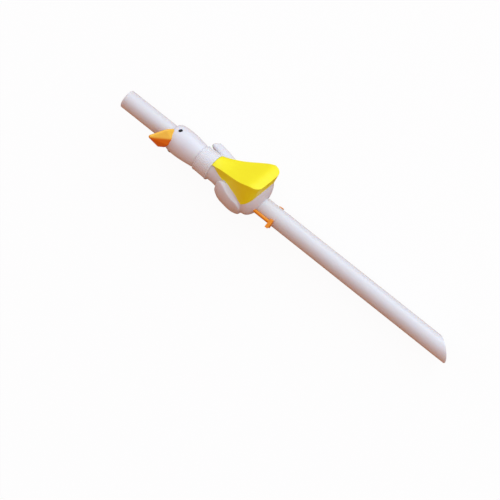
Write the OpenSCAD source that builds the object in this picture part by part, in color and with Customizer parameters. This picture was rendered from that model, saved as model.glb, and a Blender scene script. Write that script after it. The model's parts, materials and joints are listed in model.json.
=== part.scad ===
// A wide drinking straw with a small white duck threaded on it.
// The duck is drawn upright on the straw: z runs up the tube from the tip of
// the slanted end to the mouth end, +y is the duck's back and +x its left.
// The last step lays the whole thing down as it rests on a table.

/* [Straw] */
// Length from the slanted tip to the mouth end
straw_length = 230; // [200:1:260]
// Outer diameter of the tube
straw_od = 11; // [9:0.1:12]
// Wall of the tube
straw_wall = 0.8; // [0.5:0.05:1.2]
// Rounding of the mouth end's outer edge
rim_round = 0.4; // [0.1:0.05:0.45]
// Slant of the piercing end, measured from a square cut
cut_angle = 50; // [30:1:55]
// Turn of the slanted tip from the duck's back towards its left
tip_turn = 95; // [0:5:180]

/* [Duck place and fit] */
// Height of the duck's underside above the slanted tip
duck_z = 131.8; // [110:0.1:140]
// Gap round the straw inside the duck
bore_gap = 0.06; // [0.03:0.01:0.1]
// Gap between a seated piece and what it sits on
seat_gap = 0.1; // [0.05:0.01:0.2]
// Gap between the straw and the beak, legs and feet beside it
leg_gap = 0.3; // [0.2:0.05:0.5]

/* [Torso] */
// Radius of the belly
belly_r = 11.3; // [11:0.1:12]
// How far the belly's middle lies behind the straw
belly_back = 0.8; // [0:0.1:1.5]
// Height of the belly's middle above the underside
belly_z = 13.7; // [13:0.1:14.5]
// Radius of the rump
rump_r = 12.8; // [11.5:0.1:13]
// How far the rump's middle lies behind the straw
rump_back = 4.2; // [4:0.1:5]
// Half the height of the rump
rump_h = 5.8; // [5:0.1:7]
// Radius of the shoulders
shoulder_r = 10.4; // [9.5:0.1:10.6]
// How far the shoulders' middle lies behind the straw
shoulder_back = 0.3; // [0:0.1:1]
// Height of the shoulders' middle above the underside
shoulder_z = 18.4; // [17:0.1:19.5]

/* [Neck and head] */
// Radius of the neck
neck_r = 7; // [6.9:0.05:7.4]
// How much wider the neck is where it leaves the torso
neck_flare = 1.4; // [0.8:0.1:2]
// Height above the underside where the flare ends
neck_flare_z = 31; // [28:0.5:33]
// Radius of the head at its widest
head_r = 8.4; // [8:0.1:9]
// Height of the crown above the underside
crown_z = 64.9; // [63:0.1:68]
// Height of the rounded top of the head
crown_round = 6.2; // [5:0.1:7]
// Turn of the head from the duck's back towards its left
head_turn = 74; // [60:1:100]

/* [Collar] */
// Height of the collar's lower rim above the underside
collar_z = 34.9; // [34:0.1:37]
// Height of the collar
collar_h = 9.4; // [8:0.1:10]
// Radius of the collar at its lower rim
collar_r = 8.1; // [7.9:0.05:8.6]
// Radius of the collar at its upper rim
collar_top_r = 7.6; // [7.6:0.05:8]
// Number of fine ribs round the collar
rib_count = 9; // [4:1:12]
// Depth of the grooves between the ribs
rib_depth = 0.16; // [0.1:0.01:0.25]
// Height of the plain rims above and below the ribs
collar_rim_h = 0.8; // [0.5:0.1:1.2]

/* [Cape] */
// Thickness of the cape over the shoulders
cape_t = 1.6; // [1:0.1:2.4]
// How far the back panel stands off the belly
belly_to_panel = 3; // [2:0.1:4]
// How far the hem stands off the rump
rump_to_hem = 2.1; // [1.5:0.1:3]
// How far the cape's sides stand out from the flanks
side_out = 0.9; // [0.5:0.1:1.2]
// Distance behind the straw where the sides end over the flanks
side_back = 5.2; // [4.5:0.1:6]
// Distance behind the straw where the sides end over the shoulders
side_mid_back = 4.2; // [3.5:0.1:5]
// Distance behind the straw where the sides end at the collar
side_top_back = 5.8; // [4:0.1:6.2]
// Height above the underside where the back panel starts to flare
panel_mid_z = 26; // [25:0.1:28]
// Width of the back panel where it starts to flare
panel_mid_w = 13.2; // [11:0.1:14]
// Width of the back panel over the belly
panel_belly_w = 22.4; // [20:0.1:24]
// Width of the back panel at the hem
panel_hem_w = 24.6; // [22:0.1:26]
// Height of the hem above the underside
hem_z = 1.7; // [1:0.1:3]
// Radius of the hem's lower corners
hem_round = 5.6; // [4:0.1:7]
// How much higher the sides end than the back panel
side_rise = 2.2; // [1:0.1:4]

/* [Wings] */
// Length of the folded wing
wing_length = 19; // [17:0.5:22]
// Width of the folded wing
wing_width = 13; // [11:0.5:14]
// Radius of the folded wing's corners
wing_corner_r = 4; // [3:0.5:5.5]
// How far the folded wing stands out from the flank
wing_out = 1.9; // [1.2:0.1:2.4]
// Turn of the folded wing's middle from the back towards the front
wing_turn = 104; // [100:1:112]
// Height of the folded wing's middle above the belly's
wing_rise = 3; // [1:0.1:4]
// Height of the raised wing's tip above the underside
raised_tip_z = 42.2; // [41:0.1:46]
// Distance of the raised wing's tip from the straw's axis
raised_tip_out = 14.4; // [13:0.1:15]
// Distance of the raised wing's tip behind the straw's axis
raised_tip_y = 1; // [0:0.1:2]
// Radius of the raised wing's round tip
raised_tip_r = 1.6; // [1.4:0.1:2]
// Distance between the two round corners of the raised wing's blunt tip
raised_tip_w = 2.8; // [2:0.1:3.4]
// Slant of the blunt tip
raised_tip_slant = 40; // [20:5:60]
// Radius of the raised wing at its shoulder
raised_root_r = 3.4; // [3:0.1:4]

/* [Beak] */
// Width of the beak where it leaves the head
beak_w = 13; // [12:0.1:14]
// Height of the beak's upper corners below the crown's top
beak_drop = 0.6; // [0:0.1:1.5]
// Distance of the beak's upper corners from the straw's axis
beak_back = 5.2; // [4.5:0.1:6]
// Width of the flat underside where it leaves the head
keel_w = 5.4; // [4:0.1:7]
// Height of the underside below the crown's top
keel_drop = 2.6; // [2:0.1:3.5]
// Distance of the underside's corners from the straw's axis
keel_out = 8; // [7.5:0.1:8.5]
// Width of the beak halfway to its tip
cheek_w = 12; // [11:0.1:13]
// Height of the beak's sides above the crown's top, halfway to its tip
cheek_rise = 1.2; // [0.5:0.1:2]
// Distance of the beak's sides from the straw's axis, halfway to its tip
cheek_out = 9.4; // [8.5:0.1:10.5]
// Height of the beak's tip above the crown's top
beak_rise = 6.4; // [5:0.1:8]
// Distance of the beak's tip from the straw's axis
beak_out = 17; // [15:0.1:18]
// Radius of the beak's round corners
beak_corner_r = 0.8; // [0.6:0.1:1]
// Radius of the beak's round tip
beak_tip_r = 1.1; // [0.8:0.1:1.5]

/* [Eyes] */
// Length of an eye
eye_l = 2.5; // [2:0.1:3]
// Width of an eye
eye_w = 1.8; // [1.4:0.1:2]
// Height of the eyes' middle below the crown's top
eye_drop = 4.1; // [3.6:0.1:5]
// Turn of each eye from the beak round the head
eye_turn = 64.5; // [60:0.5:80]
// Depth of the eyes' sockets
eye_depth = 0.8; // [0.6:0.1:1.2]

/* [Legs] */
// Diameter of a leg
leg_d = 1.9; // [1.6:0.1:2.4]
// Length of the left leg below the duck's underside
left_leg_drop = 9.2; // [7:0.1:10]
// Length of the right leg below the duck's underside
right_leg_drop = 6.4; // [5:0.1:8]
// How far the left leg stands behind the straw's axis and the right one in front
leg_shift = 0.8; // [0:0.1:1.2]
// How deep a leg sits in the duck's underside
leg_sink = 2; // [1.6:0.1:2.6]
// Thickness of a foot
foot_t = 2; // [1.5:0.1:2.4]
// Length of a foot in front of its leg
foot_l = 3.2; // [2.4:0.1:3.8]
// Length of a foot behind its leg
heel_l = 2.2; // [1.2:0.1:2.6]
// Width of a foot across its toes
foot_w = 4.4; // [4:0.1:5.4]
// Depth of the web between the toes
toe_web = 0.8; // [0.4:0.1:1.2]
// How far each foot turns outwards
foot_turn = 35; // [20:5:45]

/* [Hidden] */

$fn = 64;
soft_fn = 40;
wing_fn = 28;
beak_fn = 20;
small_fn = 32;
eps = 0.01;
big = 60;

straw_r = straw_od / 2;
bore_r = straw_r + bore_gap;
straw_bore_r = straw_r - straw_wall;
cut_rise = straw_od * tan(cut_angle);

neck_start_z = 20;
head_wide_z = crown_z - crown_round;
collar_end_z = collar_z + collar_h;
crown_rim = 0.9;
crown_r = straw_r + crown_rim;

raised_elbow_r = (raised_root_r + raised_tip_r) / 2;
raised_elbow_z = raised_tip_z - 3 * raised_elbow_r;

socket_h = 3;
heel_r = leg_d / 2 + 0.2;

// The cape's back panel and sides, from what they cover
slice_t = 1;
side_mid_out = 0.6;
function flank_x(r, back) = sqrt(r * r - (side_back - back) * (side_back - back));
panel_mid_back = shoulder_back + sqrt(shoulder_r * shoulder_r - pow(panel_mid_z - shoulder_z, 2)) + cape_t;
panel_belly_back = belly_back + belly_r + belly_to_panel;
hem_back = max(rump_back + rump_r + rump_to_hem, panel_belly_back);

// The straw lies on a table on three places: the belly, the tip of the raised
// wing and the lower rim of the slanted end. Each is taken as a ball, and the
// table is the plane under all three. Its direction is found twice, because
// the place on the slanted rim turns with it.
belly_mid = [0, belly_back, duck_z + belly_z];
wing_tip_mid = [-raised_tip_out, raised_tip_y, duck_z + raised_tip_z];
function rim_mid(turn) = [0, 0, cut_rise / 2 * (1 - cos(turn - tip_turn))];
function table_way(rim) =
    let (to_belly = belly_mid - rim, to_wing = wing_tip_mid - rim,
        bb = to_belly * to_belly, ww = to_wing * to_wing, bw = to_belly * to_wing,
        belly_off = straw_r - belly_r, wing_off = straw_r - raised_tip_r,
        area = bb * ww - bw * bw,
        flat = (to_belly * (belly_off * ww - wing_off * bw)
            + to_wing * (wing_off * bb - belly_off * bw)) / area,
        side = cross(to_belly, to_wing))
    flat + side * sqrt((1 - flat * flat) / (side * side));
function turn_of(way) = atan2(way[0], way[1]);
table_down = table_way(rim_mid(turn_of(table_way(rim_mid(tip_turn + 180)))));
rest_turn = turn_of(table_down);
rest_tilt = asin(-table_down[2]);

// Outline of the neck and head, as radius and height
function neck_point(h) =
    let (share = (h - collar_end_z) / (head_wide_z - collar_end_z))
    share < 0 ? neck_r : neck_r + (head_r - neck_r) * sin(90 * min(share, 1));
neck_profile = [for (i = [0:8]) let (h = collar_end_z + (head_wide_z - collar_end_z) * i / 8)
    [neck_point(h), h]];
crown_profile = [for (a = [10:10:80])
    [crown_r + (head_r - crown_r) * cos(a), head_wide_z + crown_round * sin(a)]];

// A turn is measured from the duck's back (+y) towards its left (+x)
module at_turn(turn) {
    rotate([0, 0, -turn]) children();
}

// The straw: one extruded tube, square at the mouth and slanted below
module straw_tube() {
    rim_arc = [for (a = [0:15:90])
        [straw_r - rim_round + rim_round * cos(a), straw_length - rim_round + rim_round * sin(a)]];
    rotate_extrude($fn = 96)
        polygon(concat([[straw_bore_r, 0], [straw_r, 0]], rim_arc, [[straw_bore_r, straw_length]]));
}

module slanted_cut() {
    at_turn(tip_turn)
        translate([0, straw_r, 0])
            rotate([-cut_angle, 0, 0])
                translate([-big / 2, -big, -big])
                    cube([big, 2 * big, big]);
}

module straw() {
    color("white")
        difference() {
            straw_tube();
            slanted_cut();
        }
}

// The moulded duck: torso, neck and head, and both wings
module torso_solid(grow) {
    hull() {
        translate([0, rump_back, rump_h])
            scale([rump_r + grow, rump_r + grow, rump_h + grow]) sphere(r = 1, $fn = soft_fn);
        translate([0, belly_back, belly_z]) sphere(r = belly_r + grow, $fn = soft_fn);
        translate([0, shoulder_back, shoulder_z]) sphere(r = shoulder_r + grow, $fn = soft_fn);
    }
}

module head_solid(grow) {
    rotate_extrude()
        polygon(concat(
            [[0, neck_start_z], [neck_r + neck_flare, neck_start_z], [neck_r + grow, neck_flare_z]],
            [for (p = neck_profile) [p[0] + grow, p[1]]],
            [for (p = crown_profile) [p[0] + grow, p[1] + grow]],
            [[crown_r, crown_z + grow], [0, crown_z + grow]]));
}

module folded_wing(grow) {
    intersection() {
        torso_solid(wing_out + grow);
        translate([0, belly_back, belly_z + wing_rise])
            at_turn(wing_turn)
                rotate([-90, 0, 0])
                    linear_extrude(height = big)
                        offset(r = wing_corner_r + grow)
                            square([wing_width - 2 * wing_corner_r, wing_length - 2 * wing_corner_r],
                                center = true);
    }
}

module raised_wing() {
    hull() {
        translate([raised_root_r - shoulder_r, raised_tip_y, shoulder_z + raised_root_r])
            sphere(r = raised_root_r, $fn = wing_fn);
        translate([raised_elbow_r - raised_tip_out, raised_tip_y, raised_elbow_z])
            sphere(r = raised_elbow_r, $fn = wing_fn);
        translate([-raised_tip_out, raised_tip_y, raised_tip_z])
            for (share = [0, 1])
                rotate([0, -share * raised_tip_slant, 0])
                    translate([share * raised_tip_w, 0, 0])
                        sphere(r = raised_tip_r, $fn = wing_fn);
    }
}

module duck_shell() {
    torso_solid(0);
    head_solid(0);
    folded_wing(0);
    raised_wing();
}

module duck_body() {
    color("white")
        translate([0, 0, duck_z])
            difference() {
                duck_shell();
                translate([0, 0, -eps]) cylinder(r = bore_r, h = crown_z + 2 * eps);
                eye_prism(-eye_turn, seat_gap / 2, eye_depth);
                eye_prism(eye_turn, seat_gap / 2, eye_depth);
            }
}

// The collar: a close band round the neck with fine ribs
module collar() {
    rib_pitch = (collar_h - 2 * collar_rim_h) / rib_count;
    inner_r = neck_r + seat_gap;
    function band_r(h) = collar_r + (collar_top_r - collar_r) * h / collar_h;
    ribs = [for (i = [0:rib_count - 1], half = [0, 1])
        let (h = collar_rim_h + (i + half / 2) * rib_pitch)
        [band_r(h) - half * rib_depth, h]];
    color("white")
        translate([0, 0, duck_z + collar_z])
            rotate_extrude()
                polygon(concat([[inner_r, 0], [collar_r, 0]], ribs,
                    [[band_r(collar_h - collar_rim_h), collar_h - collar_rim_h],
                    [collar_top_r, collar_h], [inner_r, collar_h]]));
}

// The cape: a flared panel down the back, with sides that fall to the flanks.
// Its slices stand off the torso behind them, so it follows the torso's size.
module cape_slice(panel_w, panel_back, side_w, side_y, z) {
    translate([0, 0, z])
        linear_extrude(height = slice_t)
            polygon([[-panel_w / 2, panel_back], [panel_w / 2, panel_back],
                [side_w / 2, side_y], [-side_w / 2, side_y]]);
}

module top_slice() {
    translate([0, 0, collar_z - seat_gap - slice_t])
        linear_extrude(height = slice_t)
            intersection() {
                circle(r = collar_r - seat_gap);
                translate([-big / 2, side_top_back]) square(big);
            }
}

module mid_slice() {
    cape_slice(panel_mid_w, panel_mid_back, panel_mid_w + 2 * side_mid_out, side_mid_back, panel_mid_z);
}

module belly_slice() {
    belly_side_w = 2 * (flank_x(belly_r, belly_back) + side_out);
    cape_slice(panel_belly_w, panel_belly_back, belly_side_w, side_back, belly_z);
}

module hem_disc(side, w, back, z) {
    translate([side * (w / 2 - hem_round), back, z + hem_round])
        rotate([90, 0, 0]) cylinder(r = hem_round, h = slice_t, $fn = soft_fn);
}

module hem_slice() {
    hem_side_w = 2 * (flank_x(rump_r, rump_back) + side_out);
    for (side = [-1, 1]) {
        intersection() {
            hem_disc(side, panel_hem_w, hem_back, hem_z);
            translate([-big / 2, 0, 0]) cube([big, big, hem_z + hem_round]);
        }
        intersection() {
            hem_disc(side, hem_side_w, side_back + slice_t, hem_z + side_rise);
            translate([-big / 2, 0, 0]) cube([big, big, hem_z + side_rise + hem_round]);
        }
    }
}

module cape_outline() {
    hull() {
        top_slice();
        mid_slice();
    }
    hull() {
        mid_slice();
        belly_slice();
        hem_slice();
    }
}

module cape() {
    color("yellow")
        translate([0, 0, duck_z])
            difference() {
                cape_outline();
                torso_solid(seat_gap);
                head_solid(seat_gap);
                folded_wing(seat_gap);
            }
}

// The beak: a bill with a flat underside that leans out from the crown
module beak_corners(w, out, z) {
    for (side = [-1, 1])
        translate([side * (w / 2 - beak_corner_r), out, z])
            sphere(r = beak_corner_r, $fn = beak_fn);
}

module beak() {
    color("orange")
        translate([0, 0, duck_z])
            difference() {
                at_turn(head_turn)
                    hull() {
                        beak_corners(beak_w, beak_back, crown_z - beak_drop);
                        beak_corners(keel_w, keel_out, crown_z - keel_drop);
                        beak_corners(cheek_w, cheek_out, crown_z + cheek_rise);
                        translate([0, beak_out - beak_tip_r, crown_z + beak_rise - beak_tip_r])
                            sphere(r = beak_tip_r, $fn = beak_fn);
                    }
                head_solid(seat_gap);
                cylinder(r = straw_r + leg_gap, h = crown_z + big);
            }
}

// The eyes: thin oval inlays in the sides of the head
module eye_prism(turn, grow, depth) {
    at_turn(head_turn + turn)
        translate([0, head_r - depth, crown_z - eye_drop])
            rotate([-90, 0, 0])
                linear_extrude(height = socket_h)
                    hull() {
                        for (s = [-1, 1])
                            translate([s * (eye_l - eye_w) / 2, 0])
                                circle(d = eye_w + 2 * grow, $fn = small_fn);
                    }
}

module eye(turn) {
    color("black")
        translate([0, 0, duck_z])
            intersection() {
                eye_prism(turn, 0, eye_depth - seat_gap);
                head_solid(seat_gap);
            }
}

module left_eye() {
    eye(eye_turn);
}

module right_eye() {
    eye(-eye_turn);
}

// The legs: one each side of the straw, each with a webbed foot
module foot() {
    linear_extrude(height = foot_t)
        polygon([[-heel_r, heel_l], [heel_r, heel_l], [foot_w / 2, -foot_l],
            [0, toe_web - foot_l], [-foot_w / 2, -foot_l]]);
}

module leg(side, drop) {
    color("orange")
        translate([0, 0, duck_z - drop])
            difference() {
                translate([side * (straw_r + leg_gap + leg_d / 2), side * leg_shift, 0]) {
                    translate([0, 0, -foot_t / 2])
                        cylinder(d = leg_d, h = drop + leg_sink + foot_t / 2, $fn = small_fn);
                    rotate([0, 0, side * foot_turn]) translate([0, 0, -foot_t]) foot();
                }
                translate([0, 0, -2 * foot_t]) cylinder(r = straw_r + leg_gap, h = drop);
                translate([0, 0, drop]) torso_solid(seat_gap);
            }
}

module left_leg() {
    leg(1, left_leg_drop);
}

module right_leg() {
    leg(-1, right_leg_drop);
}

// Lays the upright model down, with the centre of the mouth end at the origin
module laid_down() {
    rotate([0, 90 - rest_tilt, 0])
        rotate([0, 0, rest_turn - 90])
            translate([0, 0, -straw_length])
                children();
}

laid_down() straw();
laid_down() duck_body();
laid_down() collar();
laid_down() cape();
laid_down() beak();
laid_down() left_leg();
laid_down() right_leg();
laid_down() left_eye();
laid_down() right_eye();
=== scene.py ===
import json
import math

import bmesh
import bpy
from mathutils import Matrix, Vector


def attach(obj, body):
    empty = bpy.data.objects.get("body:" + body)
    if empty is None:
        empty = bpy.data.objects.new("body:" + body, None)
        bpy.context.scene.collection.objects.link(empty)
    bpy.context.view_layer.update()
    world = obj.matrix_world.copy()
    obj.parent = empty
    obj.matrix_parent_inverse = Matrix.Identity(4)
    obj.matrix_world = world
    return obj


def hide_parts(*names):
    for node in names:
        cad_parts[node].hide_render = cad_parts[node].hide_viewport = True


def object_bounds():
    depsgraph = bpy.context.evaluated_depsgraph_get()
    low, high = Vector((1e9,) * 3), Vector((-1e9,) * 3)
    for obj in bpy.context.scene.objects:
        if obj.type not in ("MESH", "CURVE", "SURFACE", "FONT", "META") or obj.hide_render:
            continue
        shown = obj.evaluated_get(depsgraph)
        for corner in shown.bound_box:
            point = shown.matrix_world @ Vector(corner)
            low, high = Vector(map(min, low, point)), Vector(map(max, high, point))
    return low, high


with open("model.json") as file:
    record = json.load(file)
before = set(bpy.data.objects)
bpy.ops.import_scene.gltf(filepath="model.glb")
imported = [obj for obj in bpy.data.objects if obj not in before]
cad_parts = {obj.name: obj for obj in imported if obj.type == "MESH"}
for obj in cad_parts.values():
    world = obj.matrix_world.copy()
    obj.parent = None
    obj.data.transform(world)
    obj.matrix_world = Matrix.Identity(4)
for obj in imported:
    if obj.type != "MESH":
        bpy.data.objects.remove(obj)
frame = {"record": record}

cad_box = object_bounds()

# Sizes are in millimetres, in the duck's own upright frame, as in the CAD model:
# z runs up the straw from its slanted tip, +y is the duck's back and +x its left.
# A turn is measured round the straw, from the duck's back towards its left.
MM = 0.001

# Straw, cut on a slant at its lower end
STRAW_LENGTH = 230
STRAW_R = 5.5
STRAW_WALL = 0.8
STRAW_BAND = 10
RIM_ROUND = 0.4
CUT_ANGLE = math.radians(50)
TIP_TURN = math.radians(95)

# Where the duck sits on the straw, and how far its bore, and its cape, bill and
# legs, stay clear of the straw
DUCK_Z = 131.8
BORE_GAP = 0.06
STRAW_GAP = 0.3
# How far a cutter runs past what it cuts
CUT_PAST = 5

# Torso: three balls set behind the straw; the folded wing is the same torso grown
# by the wing's thickness, of which each ball takes its share
RUMP = {"r": 12.8, "half_h": 5.8, "back": 4.2, "z": 5.8, "wing_share": 0.35}
BELLY = {"r": 11.3, "half_h": 11.3, "back": 0.8, "z": 13.7, "wing_share": 1}
SHOULDERS = {"r": 10.4, "half_h": 10.4, "back": 0.3, "z": 18.4, "wing_share": 1}

# Neck and head, with a tuck above the collar; the wide part of the head is at WIDE_Z
NECK_R = 7
TUCK = 0.45
TUCK_BELOW = 0.4
TUCK_ABOVE = 0.2
NECK_FLARE = 1.4
NECK_START_Z = 20
NECK_FLARE_Z = 31
HEAD_R = 8.4
CROWN_Z = 64.9
CROWN_ROUND = 6.2
CROWN_RIM = 0.9
CROWN_R = STRAW_R + CROWN_RIM
WIDE_Z = CROWN_Z - CROWN_ROUND
HEAD_BANDS = 12
HEAD_TURN = math.radians(74)

# Collar: ribs that stand back a little between two plain lips
COLLAR_Z = 34.9
COLLAR_H = 9.4
COLLAR_R = 8.1
COLLAR_TOP_R = 7.8
COLLAR_SEAT = 0.3
RIB_COUNT = 9
RIB_DEPTH = 0.2
RIB_POINTS = 8
COLLAR_RIM_H = 0.75
LIP_ROUND = 0.25
LIP_PROUD = 0.15
LIP_STEP = 0.1

# Folded wing on the left flank, and the other one raised beside the collar
WING_LENGTH = 19
WING_WIDTH = 13
WING_CORNER_R = 4
WING_OUT = 2.3
WING_BEVEL = 0.2
WING_TILT = math.radians(-5.5)
WING_TURN = math.radians(107)
WING_RISE = 3
RAISED_TIP = Vector((-14.4, 1, 42.2))
RAISED_TIP_R = 1.6
RAISED_TIP_W = 2.8
RAISED_TIP_SLANT = math.radians(40)
RAISED_ROOT_R = 3.4

# The cape from the collar down, each row as height, half width of the back panel,
# its distance behind the straw, and where its side meets the body: left, back, height
CAPE_ROWS = (
    (34.8, 5.2, 8, 4.6, 6.2, 34.8),
    (31.5, 5.6, 8.25, 5.4, 5.4, 31),
    (26.5, 6.7, 9.4, 6.6, 4.3, 25.7),
    (20.5, 8.7, 12, 8.9, 5.5, 20.4),
    (14.2, 11.1, 15.2, 10.7, 5.7, 14.6),
    (10, 12.1, 17.6, 12, 4.9, 10.3),
    (7.3, 12.3, 19, 12.7, 4.7, 7.5),
)
# Where the hem meets the body, as left, back and height, from the middle to the corner
HEM_FEET = (
    (0, 13.4, 1.7),
    (6.4, 12.2, 2.2),
    (9.7, 10.3, 3),
    (11.3, 9, 3.7),
    (12.5, 7.2, 4.9),
    (12.7, 4.7, 7.5),
)
# How far the walls run on into the body, and how the hem's feet crowd to the middle
FOOT_SINK = 0.9
HEM_SPREAD = 1.3
HEM_Z = 1.7
HEM_ROUND = 5.6
CAPE_EDGE = 0.3
PANEL_FLAT_Z = 26
PANEL_BEND_W = 6
# Shares of the panel's half width and of its height where its mesh has a line
PANEL_ACROSS = (0, 0.3, 0.55, 0.66, 0.76, 0.85, 0.92)
PANEL_DOWN = (0, 0.012, *(i / 12 for i in range(1, 12)), 0.99, 1)

# Bill: the corners at its root, under its keel and at its cheeks, and its tip; heights
# are from the crown, and backs and outs from the straw's axis
BEAK_W = 13
BEAK_DROP = 0.6
BEAK_BACK = 5.2
KEEL_W = 5.4
KEEL_DROP = 2.6
KEEL_OUT = 8
CHEEK_W = 12
CHEEK_RISE = 1.2
CHEEK_OUT = 9.4
BEAK_RISE = 6.4
BEAK_OUT = 17
BEAK_CORNER_R = 0.8
BEAK_TIP_R = 1.1

# Eyes, on the sides of the head
EYE_L = 2.65
EYE_W = 1.8
EYE_DROP = 4.1
EYE_TURN = math.radians(64.5)
EYE_DOME = 0.32
EYE_SLANT = math.radians(22)

# Legs, one each side of the straw; the left one is longer and a little further back
LEG_R = 0.95
HEEL_R = 1.15
HEEL_L = 2.2
LEG_DROPS = {"left": 9.2, "right": 6.4}
LEG_SHIFT = 0.8
LEG_SINK = 1.5
FOOT_T = 2
FOOT_L = 3.2
FOOT_W = 4.4
TOE_WEB = 0.8
FOOT_TURN = math.radians(35)

# How fine the mesh of each melted skin is, and how many times it is smoothed
DUCK_SKIN = (0.32, 4)
BILL_SKIN = (0.16, 14)
LEG_SKIN = (0.13, 5)

# How the straw and its duck lie on the table
REST_TURN = math.radians(-130.446)
tube_axis = Vector(frame["record"]["mounts"][0]["axis"])
rest_tilt = math.asin(tube_axis.z)
LAID_DOWN = (
    Matrix.Scale(MM, 4)
    @ Matrix.Rotation(math.pi / 2 - rest_tilt, 4, "Y")
    @ Matrix.Rotation(REST_TURN - math.pi / 2, 4, "Z")
    @ Matrix.Translation((0, 0, -STRAW_LENGTH))
)
ON_DUCK = Matrix.Translation((0, 0, DUCK_Z))

# The photograph's view: turn and lean in the duck's own frame, distances in metres
VIEW_TURN = math.radians(42)
VIEW_LEAN = math.radians(13)
STRAW_SLOPE = math.radians(38.66)
CAMERA_DISTANCE = 1.5
SENSOR_WIDTH = 36
FRAME_WIDTH = 0.271
IMAGE_PX = 500
STRAW_MIDDLE_PX = (286.3, 225.2)

# Light and floor: directions are right, up and towards the camera, distances in metres
KEY_WAY = (0.6, 0.75, 0.4)
KEY_DISTANCE = 1.2
KEY_SIZE = 0.8
KEY_POWER = 5
KEY_TINT = (0.88, 0.98, 1.06)
# The tent's light on the key's side and on the far side, and where it starts to rise
TENT_BRIGHT = (1.05, 1.22, 1.46)
TENT_DIM = (0.45, 0.13, 0)
TENT_EDGE = -0.6
# The floor's tone as the object meets it, and how white the camera sees it
FLOOR_BOUNCE = (0.5, 0.22, 0.09)
FLOOR_WHITE = 0.94
FLOOR_ROUGH = 0.9
FLOOR_SIZE = 6


# Mesh helpers
def mesh_from(bm, name):
    """Turns a bmesh into a mesh and frees it."""
    mesh = bpy.data.meshes.new(name)
    bm.to_mesh(mesh)
    bm.free()
    return mesh


def add_object(name, data):
    """Adds an object to the scene."""
    thing = bpy.data.objects.new(name, data)
    bpy.context.scene.collection.objects.link(thing)
    return thing


def at_turn(turn):
    """The matrix that turns the duck's back round to a turn."""
    return Matrix.Rotation(-turn, 4, "Z")


def add_ball(bm, middle, radii, place=Matrix(), steps=32):
    """Adds a ball or ellipsoid."""
    if not isinstance(radii, (tuple, list)):
        radii = (radii,) * 3
    size = Matrix.Diagonal((*radii, 1))
    where = place @ Matrix.Translation(middle) @ size
    bmesh.ops.create_uvsphere(bm, u_segments=steps, v_segments=steps // 2, radius=1, matrix=where)


def quarter_turn(step, start=0):
    """The angles of a quarter turn, some degrees apart."""
    return [math.radians(a) for a in range(start, 91, step)]


def wrap(bm):
    """Keeps only the tight skin round everything in the mesh."""
    result = bmesh.ops.convex_hull(bm, input=bm.verts[:])
    skin = set(result["geom"])
    spare = set(result["geom_interior"] + result["geom_unused"])
    bmesh.ops.delete(bm, geom=[v for v in bm.verts if v in spare], context="VERTS")
    bmesh.ops.delete(bm, geom=[f for f in bm.faces if f not in skin], context="FACES_ONLY")


def spin_outline(points, steps=128):
    """Spins an outline of (radius, height) points round the straw's axis."""
    bm = bmesh.new()
    verts = [bm.verts.new((r, 0, z)) for r, z in points]
    edges = [bm.edges.new(pair) for pair in zip(verts, verts[1:])]
    bmesh.ops.spin(
        bm, geom=verts + edges, axis=(0, 0, 1), cent=(0, 0, 0), dvec=(0, 0, 0),
        angle=2 * math.pi, steps=steps, use_merge=True, use_duplicate=False,
    )
    bmesh.ops.remove_doubles(bm, verts=bm.verts, dist=1e-4)
    bmesh.ops.recalc_face_normals(bm, faces=bm.faces)
    return bm


def modified(bm, kind, **settings):
    """Runs one modifier over a mesh and gives the result."""
    mesh = mesh_from(bm, "work")
    work = add_object("work", mesh)
    modifier = work.modifiers.new("work", kind)
    for name, value in settings.items():
        setattr(modifier, name, value)
    bpy.context.view_layer.update()
    result = bmesh.new()
    result.from_object(work, bpy.context.evaluated_depsgraph_get())
    bpy.data.objects.remove(work)
    bpy.data.meshes.remove(mesh)
    return result


def melted(parts, voxel, rounds):
    """Melts solids into one skin with soft inside corners."""
    whole = bmesh.new()
    for part in parts:
        mesh = mesh_from(part, "part")
        whole.from_mesh(mesh)
        bpy.data.meshes.remove(mesh)
    skin = modified(whole, "REMESH", mode="VOXEL", voxel_size=voxel)
    for _ in range(rounds):
        bmesh.ops.smooth_vert(
            skin, verts=skin.verts, factor=0.5, use_axis_x=True, use_axis_y=True, use_axis_z=True
        )
    return skin


def combine(bm, other, operation):
    """Cuts one solid out of another, or keeps what they share."""
    mesh = mesh_from(other, "other")
    tool = add_object("other", mesh)
    result = modified(bm, "BOOLEAN", operation=operation, solver="EXACT", object=tool)
    bpy.data.objects.remove(tool)
    bpy.data.meshes.remove(mesh)
    return result


def rod(radius, low, high, steps=128):
    """A closed round rod on the straw's axis."""
    return spin_outline([(0, low), (radius, low), (radius, high), (0, high)], steps)


def on_straw(bm, gap, low, high):
    """Cuts a part of the duck clear of the straw and sets it in its place along it."""
    cut = combine(bm, rod(STRAW_R + gap, low, high), "DIFFERENCE")
    cut.transform(ON_DUCK)
    return cut


def add_piece(name, bm, material, body, nodes, sharp=35):
    """Lays a finished mesh down as a piece that stands for CAD nodes."""
    bm.transform(LAID_DOWN)
    mesh = mesh_from(bm, name)
    mesh.shade_smooth()
    mesh.set_sharp_from_angle(angle=math.radians(sharp))
    mesh.materials.append(material)
    piece = add_object(name, mesh)
    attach(piece, body)
    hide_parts(*nodes)
    return piece


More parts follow.
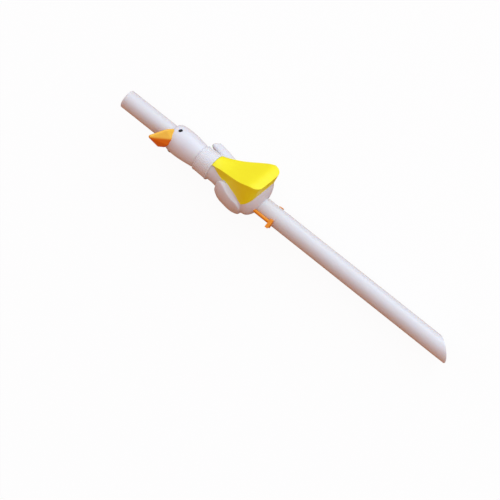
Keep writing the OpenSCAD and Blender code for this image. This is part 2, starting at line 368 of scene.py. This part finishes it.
# Shapes
def straw_shape():
    """The tube, with a rounded mouth and a slanted end."""
    arc = quarter_turn(15)
    rim = [
        (STRAW_R - RIM_ROUND * (1 - math.cos(a)), STRAW_LENGTH - RIM_ROUND * (1 - math.sin(a)))
        for a in arc
    ]
    inner_r = STRAW_R - STRAW_WALL
    bands = range(0, STRAW_LENGTH, STRAW_BAND)
    outer = [(STRAW_R, z) for z in bands]
    inner = [(inner_r, STRAW_LENGTH)] + [(inner_r, z) for z in reversed(bands)]
    bm = spin_outline(outer + rim + inner)
    tip = at_turn(TIP_TURN) @ Vector((0, STRAW_R, 0))
    way = at_turn(TIP_TURN) @ Vector((0, -math.sin(CUT_ANGLE), -math.cos(CUT_ANGLE)))
    result = bmesh.ops.bisect_plane(
        bm, geom=bm.verts[:] + bm.edges[:] + bm.faces[:], plane_co=tip, plane_no=way, clear_outer=True
    )
    rims = [g for g in result["geom_cut"] if isinstance(g, bmesh.types.BMEdge)]
    bmesh.ops.bridge_loops(bm, edges=rims)
    bmesh.ops.recalc_face_normals(bm, faces=bm.faces)
    return bm


def torso_shape(grow=0.0):
    """The rump, belly and shoulders under one skin, each grown by its share if asked."""
    bm = bmesh.new()
    for part in (RUMP, BELLY, SHOULDERS):
        extra = grow * part["wing_share"]
        wide = part["r"] + extra
        radii = (wide, wide, part["half_h"] + extra)
        add_ball(bm, (0, part["back"], part["z"]), radii, steps=64)
    wrap(bm)
    return bm


def head_shape():
    """The neck and head, round the straw; the neck is tucked in above the collar."""
    collar_end = COLLAR_Z + COLLAR_H
    tuck_r = NECK_R - TUCK
    neck = [(NECK_R, collar_end - 1), (tuck_r, collar_end - TUCK_BELOW), (tuck_r, collar_end + TUCK_ABOVE)]
    for i in range(1, HEAD_BANDS + 1):
        swell = math.sin(math.pi / 2 * i / HEAD_BANDS)
        z = collar_end + (WIDE_Z - collar_end) * i / HEAD_BANDS
        neck.append((NECK_R + (HEAD_R - NECK_R) * swell, z))
    arc = quarter_turn(6, 6)
    overhang = HEAD_R - CROWN_R
    crown = [(CROWN_R + overhang * math.cos(a), WIDE_Z + CROWN_ROUND * math.sin(a)) for a in arc]
    start = [(0, NECK_START_Z), (NECK_R + NECK_FLARE, NECK_START_Z), (NECK_R, NECK_FLARE_Z)]
    return spin_outline(start + neck + crown + [(0, CROWN_Z)], 96)


def folded_wing_shape():
    """A long paddle that lies along the flank and follows its curve."""
    bm = bmesh.new()
    middle = Vector((0, BELLY["back"], BELLY["z"] + WING_RISE))
    across, along = WING_WIDTH / 2 - WING_CORNER_R, WING_LENGTH / 2 - WING_CORNER_R
    for side in (-1, 1):
        for end in (-1, 1):
            bmesh.ops.create_cone(
                bm, cap_ends=True, segments=64, depth=WING_CORNER_R * 2,
                radius1=WING_CORNER_R * (1 + WING_BEVEL), radius2=WING_CORNER_R * (1 - WING_BEVEL),
                matrix=Matrix.Translation((side * across, end * along, 0)),
            )
    wrap(bm)
    outward = Matrix.Translation((0, BELLY["r"], 0)) @ Matrix.Rotation(math.radians(-90), 4, "X")
    tilted = Matrix.Rotation(WING_TILT, 4, "Z")
    bm.transform(Matrix.Translation(middle) @ at_turn(WING_TURN) @ outward @ tilted)
    return combine(bm, torso_shape(WING_OUT), "INTERSECT")


def raised_wing_shape():
    """The other wing, lifted beside the collar."""
    bm = bmesh.new()
    elbow_r = (RAISED_ROOT_R + RAISED_TIP_R) / 2
    root = (RAISED_ROOT_R - SHOULDERS["r"], RAISED_TIP.y, SHOULDERS["z"] + RAISED_ROOT_R)
    elbow = (elbow_r + RAISED_TIP.x, RAISED_TIP.y, RAISED_TIP.z - 3 * elbow_r)
    inner_tip = RAISED_TIP + RAISED_TIP_W * Vector(
        (math.cos(RAISED_TIP_SLANT), 0, math.sin(RAISED_TIP_SLANT))
    )
    add_ball(bm, root, RAISED_ROOT_R)
    add_ball(bm, elbow, elbow_r)
    add_ball(bm, RAISED_TIP, RAISED_TIP_R)
    add_ball(bm, inner_tip, RAISED_TIP_R)
    wrap(bm)
    return bm


def duck_shape():
    """The moulded duck, bored for the straw."""
    parts = [torso_shape(), head_shape(), folded_wing_shape(), raised_wing_shape()]
    return on_straw(melted(parts, *DUCK_SKIN), BORE_GAP, -CUT_PAST, CROWN_Z + CUT_PAST)


def collar_shape():
    """The ribbed band round the neck, with a plain lip at each rim."""
    inner_r = NECK_R - COLLAR_SEAT
    steps = RIB_COUNT * RIB_POINTS
    ribs_h = COLLAR_H - 2 * COLLAR_RIM_H
    ribs = []
    for i in range(steps + 1):
        h = COLLAR_RIM_H + ribs_h * i / steps
        plain_r = COLLAR_R + (COLLAR_TOP_R - COLLAR_R) * h / COLLAR_H
        swell = abs(math.sin(math.pi * RIB_COUNT * i / steps))
        ribs.append((plain_r - RIB_DEPTH * (1 - swell) - LIP_PROUD, h))
    arc = quarter_turn(15)
    lip = LIP_ROUND
    low = [(COLLAR_R - lip * (1 - math.sin(a)), lip * (1 - math.cos(a))) for a in arc]
    low.append((COLLAR_R, COLLAR_RIM_H - LIP_STEP))
    high = [(COLLAR_TOP_R, COLLAR_H - COLLAR_RIM_H + LIP_STEP)]
    high += [(COLLAR_TOP_R - lip * (1 - math.cos(a)), COLLAR_H - lip * (1 - math.sin(a))) for a in arc]
    outline = [(inner_r, 0)] + low + ribs + high + [(inner_r, COLLAR_H), (inner_r, 0)]
    bm = spin_outline(outline)
    bm.transform(ON_DUCK @ Matrix.Translation((0, 0, COLLAR_Z)))
    return bm


def blend_rows(rows, place):
    """A point on the smooth curve through some rows, counted from the first one."""
    place = max(0.0, min(place, len(rows) - 1.0))
    i = min(int(place), len(rows) - 2)
    share = place - i
    near = (rows[max(i - 1, 0)], rows[i], rows[i + 1], rows[min(i + 2, len(rows) - 1)])
    return [
        b + 0.5 * share * (c - a + share * (2 * a - 5 * b + 4 * c - d + share * (3 * (b - c) + d - a)))
        for a, b, c, d in zip(*near)
    ]


def cape_row(z):
    """The cape's row at one height, blended smoothly between the named rows."""
    rows = CAPE_ROWS
    z = max(min(z, rows[0][0]), rows[-1][0])
    i = next(i for i in range(len(rows) - 1) if z >= rows[i + 1][0])
    return blend_rows(rows, i + (rows[i][0] - z) / (rows[i][0] - rows[i + 1][0]))[1:]


def panel_height(share, step):
    """The height of a point on the panel: its share across, and its step down to the round hem."""
    top_z, hem_w = CAPE_ROWS[0][0], CAPE_ROWS[-1][1]
    over = max(0.0, abs(share * hem_w) - (hem_w - HEM_ROUND))
    hem_z = HEM_Z + HEM_ROUND - math.sqrt(max(0.0, HEM_ROUND ** 2 - over ** 2))
    return top_z + (hem_z - top_z) * step


def cape_panel(bm, columns):
    """The back panel's mesh, a column of points for each place across it."""
    top_z = CAPE_ROWS[0][0]
    grid = []
    for share in columns:
        column = []
        for step in PANEL_DOWN:
            z = panel_height(share, step)
            half_w, back = cape_row(z)[:2]
            bend = max(0.0, (z - PANEL_FLAT_Z) / (top_z - PANEL_FLAT_Z)) ** 2
            x = share * half_w
            curve = COLLAR_R - math.sqrt(COLLAR_R ** 2 - min(x * x, PANEL_BEND_W ** 2))
            column.append(bm.verts.new((x, back - bend * curve, z)))
        grid.append(column)
    for left, right in zip(grid, grid[1:]):
        for i in range(len(PANEL_DOWN) - 1):
            bm.faces.new((left[i], left[i + 1], right[i + 1], right[i]))
    return grid


def side_foot(side, step):
    """Where the wall from a point on the panel's side rim meets the body."""
    x, y, z = cape_row(panel_height(side, step))[2:]
    return Vector((side * x, y, z))


def hem_foot(share):
    """Where the wall from a point on the panel's hem meets the body."""
    x, y, z = blend_rows(HEM_FEET, abs(share) ** HEM_SPREAD * (len(HEM_FEET) - 1))
    return Vector((math.copysign(x, share), y, z))


def cape_walls(bm, grid, columns):
    """The walls from the panel's sides and hem to the body, a line of points for each."""
    rim = [(vert, side_foot(-1, step)) for vert, step in zip(grid[0], PANEL_DOWN)]
    rim += [(column[-1], hem_foot(share)) for column, share in zip(grid[1:-1], columns[1:-1])]
    rim += [(vert, side_foot(1, step)) for vert, step in reversed(list(zip(grid[-1], PANEL_DOWN)))]
    walls = []
    for vert, foot in rim:
        reach = (foot - vert.co).length + FOOT_SINK
        foot = vert.co + (foot - vert.co).normalized() * reach
        spans = (CAPE_EDGE / reach, 0.5, 1 - CAPE_EDGE / reach, 1)
        walls.append([vert] + [bm.verts.new(vert.co.lerp(foot, span)) for span in spans])
    for one, other in zip(walls, walls[1:]):
        for i in range(len(one) - 1):
            bm.faces.new((one[i], one[i + 1], other[i + 1], other[i]))
    return walls


def cape_shape():
    """The flared cape: a smooth back panel with a crisp rim, and walls to the body."""
    half = [*PANEL_ACROSS, 1 - CAPE_EDGE / CAPE_ROWS[-1][1], 1]
    columns = [-c for c in reversed(half[1:])] + half
    bm = bmesh.new()
    grid = cape_panel(bm, columns)
    walls = cape_walls(bm, grid, columns)
    bm.faces.new([column[0] for column in grid] + walls[-1][1:] + walls[0][:0:-1])
    bm.faces.new([wall[-1] for wall in walls])
    caps = [f for f in bm.faces if len(f.verts) > 4]
    bmesh.ops.triangulate(bm, faces=caps)
    bmesh.ops.recalc_face_normals(bm, faces=bm.faces)
    smooth = modified(bm, "SUBSURF", levels=2, render_levels=2)
    return on_straw(smooth, STRAW_GAP, 0, CROWN_Z)


def beak_shape():
    """The bill: a pointed wedge, wide at the crown, with a narrow keel below."""
    bm = bmesh.new()
    place = at_turn(HEAD_TURN)
    for side in (-1, 1):
        corners = (
            (side * (BEAK_W / 2 - BEAK_CORNER_R), BEAK_BACK, CROWN_Z - BEAK_DROP),
            (side * (KEEL_W / 2 - BEAK_CORNER_R), KEEL_OUT, CROWN_Z - KEEL_DROP),
            (side * (CHEEK_W / 2 - BEAK_CORNER_R), CHEEK_OUT, CROWN_Z + CHEEK_RISE),
        )
        for corner in corners:
            add_ball(bm, corner, BEAK_CORNER_R, place)
    tip = (0, BEAK_OUT - BEAK_TIP_R, CROWN_Z + BEAK_RISE - BEAK_TIP_R)
    add_ball(bm, tip, BEAK_TIP_R, place)
    wrap(bm)
    return on_straw(melted([bm], *BILL_SKIN), STRAW_GAP, 0, CROWN_Z + 4 * CUT_PAST)


def eye_shape(turn):
    """A small black oval that stands a little proud of the head."""
    bm = bmesh.new()
    place = at_turn(HEAD_TURN + turn)
    z = CROWN_Z - EYE_DROP
    lift = math.sqrt(1 - ((z - WIDE_Z) / CROWN_ROUND) ** 2)
    head_r = CROWN_R + (HEAD_R - CROWN_R) * lift
    slant = Matrix.Rotation(math.copysign(EYE_SLANT, turn), 4, "Y")
    place = place @ Matrix.Translation((0, head_r, z)) @ slant
    add_ball(bm, (0, 0, 0), (EYE_L / 2, EYE_DOME, EYE_W / 2), place, steps=48)
    bm.transform(ON_DUCK)
    return bm


def leg_shape(side, drop):
    """A leg with its webbed foot, cut clear of the straw."""
    place = Matrix.Translation((side * (STRAW_R + STRAW_GAP + LEG_R), side * LEG_SHIFT, 0))
    shin = bmesh.new()
    middle = (LEG_SINK - drop) / 2 - FOOT_T / 4
    bmesh.ops.create_cone(
        shin, cap_ends=True, segments=32, radius1=LEG_R, radius2=LEG_R,
        depth=drop + LEG_SINK + FOOT_T / 2, matrix=place @ Matrix.Translation((0, 0, middle)),
    )
    foot = bmesh.new()
    outline = [
        (-HEEL_R, HEEL_L), (HEEL_R, HEEL_L), (FOOT_W / 2, -FOOT_L), (0, TOE_WEB - FOOT_L),
        (-FOOT_W / 2, -FOOT_L),
    ]
    sole = foot.faces.new([foot.verts.new((*p, -drop - FOOT_T)) for p in outline])
    result = bmesh.ops.extrude_face_region(foot, geom=[sole])
    top = [g for g in result["geom"] if isinstance(g, bmesh.types.BMVert)]
    bmesh.ops.translate(foot, verts=top, vec=(0, 0, FOOT_T))
    bmesh.ops.recalc_face_normals(foot, faces=foot.faces)
    foot.transform(place @ Matrix.Rotation(side * FOOT_TURN, 4, "Z"))
    return on_straw(melted([shin, foot], *LEG_SKIN), STRAW_GAP, -drop - 2 * FOOT_T, 2 * LEG_SINK)


# Materials, with depths in metres
PLASTIC_IOR = 1.47
GRAIN_DEPTH = 0.0001
SOFT_TINT = (1, 0.7, 0.5)
SOFT_DEPTH = 0.002


def new_material(name):
    """A material with a Principled shader and nothing else."""
    material = bpy.data.materials.new(name)
    material.use_nodes = True
    tree = material.node_tree
    return material, tree, tree.nodes["Principled BSDF"]


def moulded_group():
    """Faint clouds of tone, gloss and surface waves, as moulded plastic has."""
    group = bpy.data.node_groups.new("moulded_plastic", "ShaderNodeTree")
    face = group.interface
    sockets = (
        ("Color", "NodeSocketColor"),
        ("Deep Color", "NodeSocketColor"),
        ("Cloud Scale", "NodeSocketFloat"),
        ("Grain Scale", "NodeSocketFloat"),
        ("Gloss Low", "NodeSocketFloat"),
        ("Gloss High", "NodeSocketFloat"),
    )
    face.new_socket("Vector", in_out="INPUT", socket_type="NodeSocketVector")
    for name, kind in sockets:
        face.new_socket(name, in_out="INPUT", socket_type=kind)
    face.new_socket("Color", in_out="OUTPUT", socket_type="NodeSocketColor")
    face.new_socket("Roughness", in_out="OUTPUT", socket_type="NodeSocketFloat")
    face.new_socket("Height", in_out="OUTPUT", socket_type="NodeSocketFloat")
    nodes, links = group.nodes, group.links
    source = nodes.new("NodeGroupInput")
    sink = nodes.new("NodeGroupOutput")
    cloud = nodes.new("ShaderNodeTexNoise")
    cloud.inputs["Detail"].default_value = 3
    grain = nodes.new("ShaderNodeTexNoise")
    grain.inputs["Detail"].default_value = 6
    tone = nodes.new("ShaderNodeMix")
    tone.data_type = "RGBA"
    gloss = nodes.new("ShaderNodeMapRange")
    links.new(source.outputs["Vector"], cloud.inputs["Vector"])
    links.new(source.outputs["Vector"], grain.inputs["Vector"])
    links.new(source.outputs["Cloud Scale"], cloud.inputs["Scale"])
    links.new(source.outputs["Grain Scale"], grain.inputs["Scale"])
    links.new(cloud.outputs["Fac"], tone.inputs["Factor"])
    links.new(source.outputs["Color"], tone.inputs["A"])
    links.new(source.outputs["Deep Color"], tone.inputs["B"])
    links.new(grain.outputs["Fac"], gloss.inputs["Value"])
    links.new(source.outputs["Gloss Low"], gloss.inputs["To Min"])
    links.new(source.outputs["Gloss High"], gloss.inputs["To Max"])
    links.new(tone.outputs["Result"], sink.inputs["Color"])
    links.new(gloss.outputs["Result"], sink.inputs["Roughness"])
    links.new(grain.outputs["Fac"], sink.inputs["Height"])
    return group


MOULDED = moulded_group()


def plastic(name, color, deep, cloud, grain, gloss, bump, stretch=(1, 1, 1), soft=0.0, shine=0.5):
    """A plastic whose tone, gloss and surface vary a little; soft lets light in under the skin."""
    material, tree, shader = new_material(name)
    place = tree.nodes.new("ShaderNodeTexCoord")
    turn = tree.nodes.new("ShaderNodeMapping")
    turn.inputs["Rotation"].default_value = (0, rest_tilt, 0)
    turn.inputs["Scale"].default_value = stretch
    finish = tree.nodes.new("ShaderNodeGroup")
    finish.node_tree = MOULDED
    finish.inputs["Color"].default_value = (*color, 1)
    finish.inputs["Deep Color"].default_value = (*deep, 1)
    finish.inputs["Cloud Scale"].default_value = cloud
    finish.inputs["Grain Scale"].default_value = grain
    finish.inputs["Gloss Low"].default_value = gloss[0]
    finish.inputs["Gloss High"].default_value = gloss[1]
    relief = tree.nodes.new("ShaderNodeBump")
    relief.inputs["Strength"].default_value = bump
    relief.inputs["Distance"].default_value = GRAIN_DEPTH
    tree.links.new(place.outputs["Object"], turn.inputs["Vector"])
    tree.links.new(turn.outputs["Vector"], finish.inputs["Vector"])
    tree.links.new(finish.outputs["Color"], shader.inputs["Base Color"])
    tree.links.new(finish.outputs["Roughness"], shader.inputs["Roughness"])
    tree.links.new(finish.outputs["Height"], relief.inputs["Height"])
    tree.links.new(relief.outputs["Normal"], shader.inputs["Normal"])
    shader.inputs["IOR"].default_value = PLASTIC_IOR
    shader.inputs["Specular IOR Level"].default_value = shine
    if soft:
        shader.inputs["Subsurface Weight"].default_value = soft
        shader.inputs["Subsurface Radius"].default_value = SOFT_TINT
        shader.inputs["Subsurface Scale"].default_value = SOFT_DEPTH
    return material


def paint_bill_highlight(material, lit_color, reach):
    """Paints a highlight on a bill: blends its colour into a paler one across the line from its keel to
    its tip, so that the side towards the light is painted lighter than the shaded side.
    """
    tree = material.node_tree
    shader = tree.nodes["Principled BSDF"]
    run = BEAK_OUT - BEAK_TIP_R - KEEL_OUT
    side_angle = math.atan2(KEEL_W / 2 - BEAK_CORNER_R, run)
    ridge = (
        ON_DUCK @ at_turn(HEAD_TURN) @ Matrix.Translation((0, BEAK_OUT - BEAK_TIP_R, CROWN_Z))
        @ Matrix.Rotation(math.pi - side_angle, 4, "Z")
    )
    to_ridge = (LAID_DOWN @ ridge).inverted()
    place = tree.nodes.new("ShaderNodeTexCoord")
    turn = tree.nodes.new("ShaderNodeMapping")
    turn.inputs["Location"].default_value = to_ridge.translation
    turn.inputs["Rotation"].default_value = to_ridge.to_euler()
    turn.inputs["Scale"].default_value = to_ridge.to_scale()
    split = tree.nodes.new("ShaderNodeSeparateXYZ")
    share = tree.nodes.new("ShaderNodeMapRange")
    share.interpolation_type = "SMOOTHSTEP"
    share.inputs["From Min"].default_value = reach[0]
    share.inputs["From Max"].default_value = reach[1]
    blend = tree.nodes.new("ShaderNodeMix")
    blend.data_type = "RGBA"
    blend.inputs["B"].default_value = (*lit_color, 1)
    tree.links.new(shader.inputs["Base Color"].links[0].from_socket, blend.inputs["A"])
    tree.links.new(place.outputs["Object"], turn.inputs["Vector"])
    tree.links.new(turn.outputs["Vector"], split.inputs["Vector"])
    tree.links.new(split.outputs["X"], share.inputs["Value"])
    tree.links.new(share.outputs["Result"], blend.inputs["Factor"])
    tree.links.new(blend.outputs["Result"], shader.inputs["Base Color"])


straw_plastic = plastic(
    "straw_plastic", color=(0.785, 0.775, 0.765), deep=(0.75, 0.74, 0.725),
    cloud=90, grain=500, gloss=(0.28, 0.4), bump=0.15, stretch=(0.04, 1, 1), soft=0.25,
)
duck_white = plastic(
    "duck_white", color=(0.8, 0.8, 0.81), deep=(0.77, 0.765, 0.77),
    cloud=120, grain=900, gloss=(0.3, 0.42), bump=0.1, soft=0.25,
)
collar_white = plastic(
    "collar_white", color=(0.82, 0.815, 0.81), deep=(0.79, 0.78, 0.77),
    cloud=200, grain=2400, gloss=(0.45, 0.6), bump=0.3, soft=0.2,
)
cape_yellow = plastic(
    "cape_yellow", color=(1, 0.93, 0.016), deep=(0.98, 0.86, 0.012),
    cloud=260, grain=1100, gloss=(0.35, 0.5), bump=0.1, stretch=(0.15, 1, 1),
)
orange = plastic(
    "orange_plastic", color=(0.95, 0.34, 0.008), deep=(0.92, 0.29, 0.006),
    cloud=200, grain=1500, gloss=(0.3, 0.45), bump=0.12,
)
# Painted shade: the bill's orange is the deeper tone of its shaded underside, darker than the legs' orange
bill_orange = plastic(
    "bill_orange", color=(0.95, 0.21, 0.002), deep=(0.91, 0.17, 0.001),
    cloud=200, grain=1500, gloss=(0.3, 0.45), bump=0.12,
)
# Painted highlight: the bill's side towards the light is painted paler than its shaded side
paint_bill_highlight(bill_orange, lit_color=(1, 0.56, 0.05), reach=(-0.6, 1.2))
eye_black = plastic(
    "eye_black", color=(0.008, 0.008, 0.009), deep=(0.012, 0.012, 0.012),
    cloud=600, grain=3000, gloss=(0.12, 0.2), bump=0.05, shine=0.2,
)


# Pieces
def add_pieces():
    """Makes every piece and hides the CAD nodes it stands for."""
    add_piece("straw_tube", straw_shape(), straw_plastic, "straw", ["straw"])
    add_piece("duck_figure", duck_shape(), duck_white, "duck", ["duck_body"])
    add_piece("ribbed_collar", collar_shape(), collar_white, "duck", ["collar"])
    add_piece("flared_cape", cape_shape(), cape_yellow, "duck", ["cape"])
    add_piece("bill", beak_shape(), bill_orange, "duck", ["beak"])
    for name, side in (("left", 1), ("right", -1)):
        leg = leg_shape(side, LEG_DROPS[name])
        add_piece(f"{name}_leg_and_foot", leg, orange, "duck", [f"{name}_leg"])
        eye = eye_shape(side * EYE_TURN)
        add_piece(f"{name}_eye_inlay", eye, eye_black, "duck", [f"{name}_eye"])


# Stage
def view_axes():
    """The camera's right, up and back directions, which show the straw as the photograph does."""
    way_up = Vector(
        (
            math.cos(VIEW_LEAN) * math.sin(VIEW_TURN),
            math.cos(VIEW_LEAN) * math.cos(VIEW_TURN),
            -math.sin(VIEW_LEAN),
        )
    )
    back = (LAID_DOWN.to_3x3() @ way_up).normalized()
    along = (tube_axis - tube_axis.dot(back) * back).normalized()
    across = along.cross(back)
    right = -math.cos(STRAW_SLOPE) * along + math.sin(STRAW_SLOPE) * across
    up = math.sin(STRAW_SLOPE) * along + math.cos(STRAW_SLOPE) * across
    return right, up, back


def add_camera():
    """Puts the camera where the photograph was taken from."""
    right, up, back = view_axes()
    px = FRAME_WIDTH / IMAGE_PX
    middle = LAID_DOWN @ Vector((0, 0, STRAW_LENGTH / 2))
    target = (
        middle
        - (STRAW_MIDDLE_PX[0] - IMAGE_PX / 2) * px * right
        + (STRAW_MIDDLE_PX[1] - IMAGE_PX / 2) * px * up
    )
    data = bpy.data.cameras.new("camera")
    data.sensor_width = SENSOR_WIDTH
    data.lens = SENSOR_WIDTH * CAMERA_DISTANCE / FRAME_WIDTH
    camera = add_object("camera", data)
    axes = Matrix((right, up, back)).transposed().to_4x4()
    camera.matrix_world = Matrix.Translation(target + CAMERA_DISTANCE * back) @ axes
    bpy.context.scene.camera = camera


def add_softbox(name, way, distance, size, power, color):
    """Hangs a square lamp that points at the middle of the straw."""
    right, up, back = view_axes()
    middle = LAID_DOWN @ Vector((0, 0, STRAW_LENGTH / 2))
    out = (way[0] * right + way[1] * up + way[2] * back).normalized()
    data = bpy.data.lights.new(name, "AREA")
    data.size = size
    data.energy = power
    data.color = color
    lamp = add_object(name, data)
    turn = out.to_track_quat("Z", "Y").to_matrix().to_4x4()
    lamp.matrix_world = Matrix.Translation(middle + distance * out) @ turn


def add_floor(height):
    """A plain pale floor, nearly white to the camera, with a trace of the shadow."""
    bm = bmesh.new()
    level = Matrix.Translation((0, 0, height))
    bmesh.ops.create_grid(bm, x_segments=1, y_segments=1, size=FLOOR_SIZE, matrix=level)
    mesh = mesh_from(bm, "floor")
    floor = add_object("floor", mesh)
    material, tree, shader = new_material("floor_white")
    shader.inputs["Roughness"].default_value = FLOOR_ROUGH
    rays = tree.nodes.new("ShaderNodeLightPath")
    tint = tree.nodes.new("ShaderNodeMix")
    tint.data_type = "RGBA"
    tint.inputs["A"].default_value = (*FLOOR_BOUNCE, 1)
    tint.inputs["B"].default_value = (1, 1, 1, 1)
    share = tree.nodes.new("ShaderNodeMath")
    share.operation = "MULTIPLY"
    share.inputs[1].default_value = FLOOR_WHITE
    white = tree.nodes.new("ShaderNodeEmission")
    blend = tree.nodes.new("ShaderNodeMixShader")
    links = tree.links
    links.new(rays.outputs["Is Camera Ray"], tint.inputs["Factor"])
    links.new(tint.outputs["Result"], shader.inputs["Base Color"])
    links.new(rays.outputs["Is Camera Ray"], share.inputs[0])
    links.new(share.outputs["Value"], blend.inputs["Fac"])
    links.new(shader.outputs["BSDF"], blend.inputs[1])
    links.new(white.outputs["Emission"], blend.inputs[2])
    links.new(blend.outputs["Shader"], tree.nodes["Material Output"].inputs["Surface"])
    mesh.materials.append(material)


def add_world():
    """A studio tent: cool and bright on the key's side, warm and dim on the other."""
    right, up, back = view_axes()
    bright = (KEY_WAY[0] * right + KEY_WAY[1] * up + KEY_WAY[2] * back).normalized()
    world = bpy.data.worlds.new("tent")
    bpy.context.scene.world = world
    world.use_nodes = True
    tree = world.node_tree
    place = tree.nodes.new("ShaderNodeTexCoord")
    toward = tree.nodes.new("ShaderNodeVectorMath")
    toward.operation = "DOT_PRODUCT"
    toward.inputs[1].default_value = bright
    side = tree.nodes.new("ShaderNodeMapRange")
    side.inputs["From Min"].default_value = TENT_EDGE
    tint = tree.nodes.new("ShaderNodeMix")
    tint.data_type = "RGBA"
    tint.inputs["A"].default_value = (*TENT_DIM, 1)
    tint.inputs["B"].default_value = (*TENT_BRIGHT, 1)
    links = tree.links
    links.new(place.outputs["Generated"], toward.inputs[0])
    links.new(toward.outputs["Value"], side.inputs["Value"])
    links.new(side.outputs["Result"], tint.inputs["Factor"])
    links.new(tint.outputs["Result"], tree.nodes["Background"].inputs["Color"])


add_pieces()
add_camera()
add_floor(cad_box[0].z)
add_world()
add_softbox("key", KEY_WAY, KEY_DISTANCE, KEY_SIZE, KEY_POWER, KEY_TINT)
bpy.context.scene.view_settings.view_transform = "Standard"
